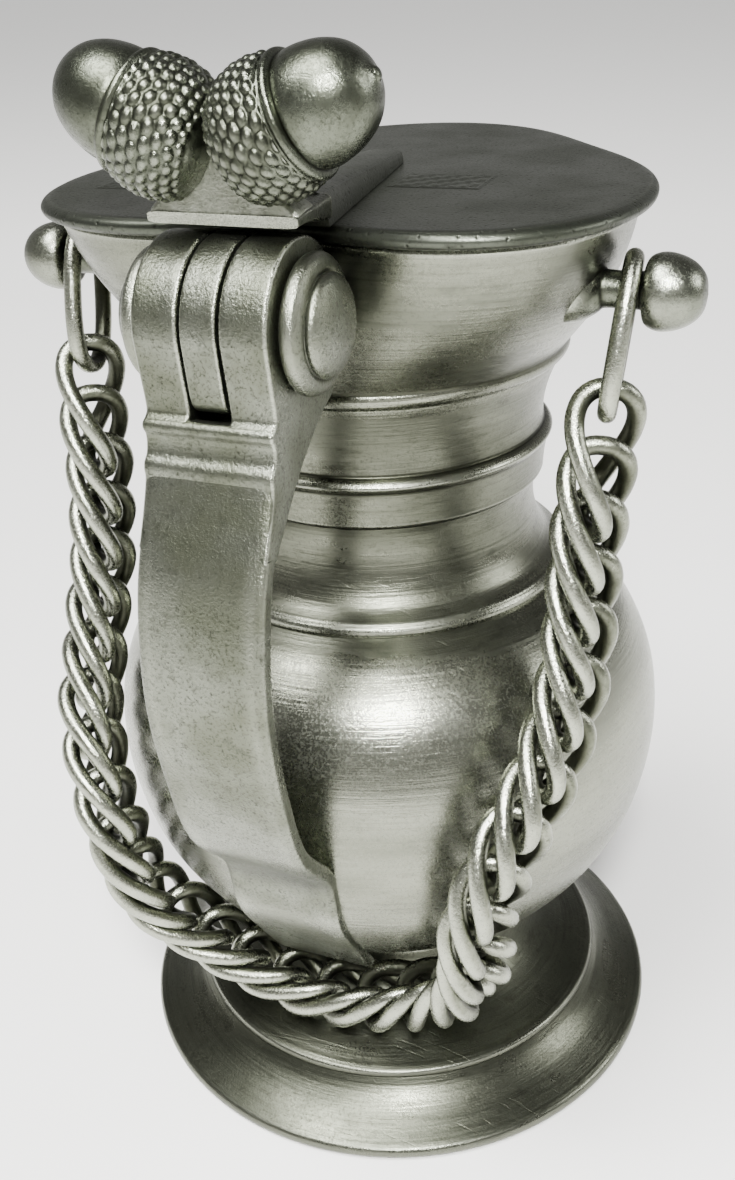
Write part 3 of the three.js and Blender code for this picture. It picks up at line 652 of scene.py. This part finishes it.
def oval_link(half, side, twist, wire, place, along, out, around=72, section=14):
    """A link of round wire: row = place on the oval, column = angle round the wire. The oval runs
    half times the bulged cosine along the chain and side times the bulged sine across it, and its
    width turns about the chain by the twist times the share of the way along. Bulged means raised to a
    power under one with its sign kept. The second result is how far each point of the wire faces
    outwards from the link."""
    t = np.linspace(0, 2 * np.pi, around, endpoint=False)

    def bulge(value):
        return np.sign(value) * np.abs(value) ** 0.8

    far, wide = bulge(np.cos(t)), side * bulge(np.sin(t))
    centre = np.stack([half * far, wide * np.cos(twist * far), wide * np.sin(twist * far)], -1)
    closed = np.vstack([centre, centre[:1]])
    run = np.concatenate([[0], np.cumsum(np.linalg.norm(np.diff(closed, axis=0), axis=1))])
    at = np.linspace(0, run[-1], around, endpoint=False)
    centre = np.column_stack([np.interp(at, run, closed[:, k]) for k in range(3)])
    tangent = np.roll(centre, -1, 0) - np.roll(centre, 1, 0)
    tangent /= np.linalg.norm(tangent, axis=1, keepdims=True)
    inward = -centre
    inward -= tangent * np.sum(inward * tangent, 1, keepdims=True)
    inward /= np.linalg.norm(inward, axis=1, keepdims=True)
    beside = np.cross(tangent, inward)
    turn = np.linspace(0, 2 * np.pi, section, endpoint=False)
    tube = (centre[:, None] + wire * (np.cos(turn)[None, :, None] * inward[:, None]
                                      + np.sin(turn)[None, :, None] * beside[:, None]))
    across = np.cross(along, out)
    outwards = np.sum((tube - centre[:, None]) * centre[:, None], -1)
    outwards /= wire * np.linalg.norm(centre, axis=1)[:, None]
    return tube @ np.array([along, out, across]) + place, outwards


HANG_BELOW_STUD, LINKED_IN = 5.4, 4.6
end_eye = END_HALF - HANG_BELOW_STUD
first_link = end_eye + END_HALF - LINKED_IN + LINK_HALF
pitch = (CHAIN_LENGTH - 2 * first_link) / (LINK_COUNT - 1)
for i in range(LINK_COUNT):
    number = int(round((first_link + i * pitch) / CHAIN_LENGTH * FRAMES))
    points, outwards = oval_link(LINK_HALF, LINK_SIDE, LINK_TWIST, LINK_WIRE, frame_place[number],
                                 frame_along[number], frame_out[number])
    skin("wire_link_%02d" % (i + 1), points, "ring", chain_pewter, "chain",
         ["chain_link_%02d" % (i + 1)], wear_or_painted_shade=outwards)
below = frame_place[int(round((end_eye + END_HALF) / CHAIN_LENGTH * FRAMES))]
for side, name in ((1, "right"), (-1, "left")):
    top = np.array([side * END_X, STUD_Y, STUD_Z])
    down = below * [side, 1, 1] - top
    down /= np.linalg.norm(down)
    across = np.array([side * np.cos(END_TURN), np.sin(side * END_TURN), 0])
    out = np.cross(across, down)
    out /= np.linalg.norm(out)
    points, outwards = oval_link(END_HALF, END_SIDE, 0, END_WIRE, top + down * end_eye, down, out, 84, 16)
    skin("wire_end_" + name, points, "ring", chain_pewter, "chain",
         ["end_link_" + name], wear_or_painted_shade=outwards)


# ---------------------------------------------------------------- stage
# A pale floor with a painted glow, a soft room light that is brighter below than above, a small lamp
# above the camera, a wide one overhead and one at the right. The camera stands where the photograph's
# did.
# Paper of the floor: matt and nearly white, with a painted glow, light given off by the floor itself,
# that grows further from the flagon.
paper = bpy.data.materials.new("Pale paper floor with painted glow")
paper.use_nodes = True
sheet = paper.node_tree
paper_shader = sheet.nodes["Principled BSDF"]
paper_shader.inputs["Base Color"].default_value = rgb("#F2F1EE")
paper_shader.inputs["Roughness"].default_value = 0.8
spot = node(sheet, "ShaderNodeTexCoord").outputs["Object"]
far = node(sheet, "ShaderNodeVectorMath", {0: spot}, operation="LENGTH").outputs["Value"]
glow = node(sheet, "ShaderNodeMapRange", {"Value": far, "From Min": 0.12, "From Max": 0.9, "To Max": 0.6})
paper_shader.inputs["Emission Color"].default_value = (1, 1, 0.98, 1)
sheet.links.new(glow.outputs["Result"], paper_shader.inputs["Emission Strength"])
bpy.ops.mesh.primitive_plane_add(size=8, location=(0, 0, -0.0005))
floor = bpy.context.object
floor.name = "floor"
floor.data.materials.append(paper)

world = bpy.data.worlds.new("Soft room")
bpy.context.scene.world = world
world.use_nodes = True
sky = world.node_tree
around = node(sky, "ShaderNodeTexCoord").outputs["Generated"]
up = node(sky, "ShaderNodeSeparateXYZ", {0: around}).outputs["Z"]
fade = node(sky, "ShaderNodeMapRange", {"Value": up, "From Min": -0.1, "From Max": 0.8, "To Min": 0.6,
            "To Max": 0.14})
sky.links.new(fade.outputs["Result"], sky.nodes["Background"].inputs["Strength"])
sky.nodes["Background"].inputs["Color"].default_value = (1.0, 0.99, 0.97, 1)


def lamp(name, place, aim, size, power):
    """A square soft lamp that points at a place. Metres and watts."""
    light = bpy.data.lights.new(name, "AREA")
    light.size = size
    light.energy = power
    made = bpy.data.objects.new(name, light)
    made.location = place
    made.rotation_euler = (Vector(aim) - Vector(place)).to_track_quat("-Z", "Y").to_euler()
    bpy.context.scene.collection.objects.link(made)


lamp("front_lamp", (0.17, -0.41, 0.56), (0, 0, 0.10), 0.10, 11.0)
lamp("room_lamp", (-0.3, -0.5, 1.5), (0, 0, 0), 0.7, 60.0)
lamp("right_lamp", (0.85, 0.25, 0.55), (0, 0, 0.10), 0.30, 5.0)

camera = bpy.data.objects.new("camera", bpy.data.cameras.new("camera"))
bpy.context.scene.collection.objects.link(camera)
# The camera's place, directions and lens are fitted to the rings and the foot in the photograph.
right, above = Vector((0.92698, 0.37289, -0.04087)), Vector((-0.14073, 0.44669, 0.88355))
camera.matrix_world = (Matrix.Translation((0.098602, -0.238046, 0.245425))
                       @ Matrix((right, above, right.cross(above))).transposed().to_4x4())
camera.data.sensor_width = 36
camera.data.lens = 39.683
camera.data.shift_x = -0.0035
camera.data.clip_start = 0.005
bpy.context.scene.camera = camera
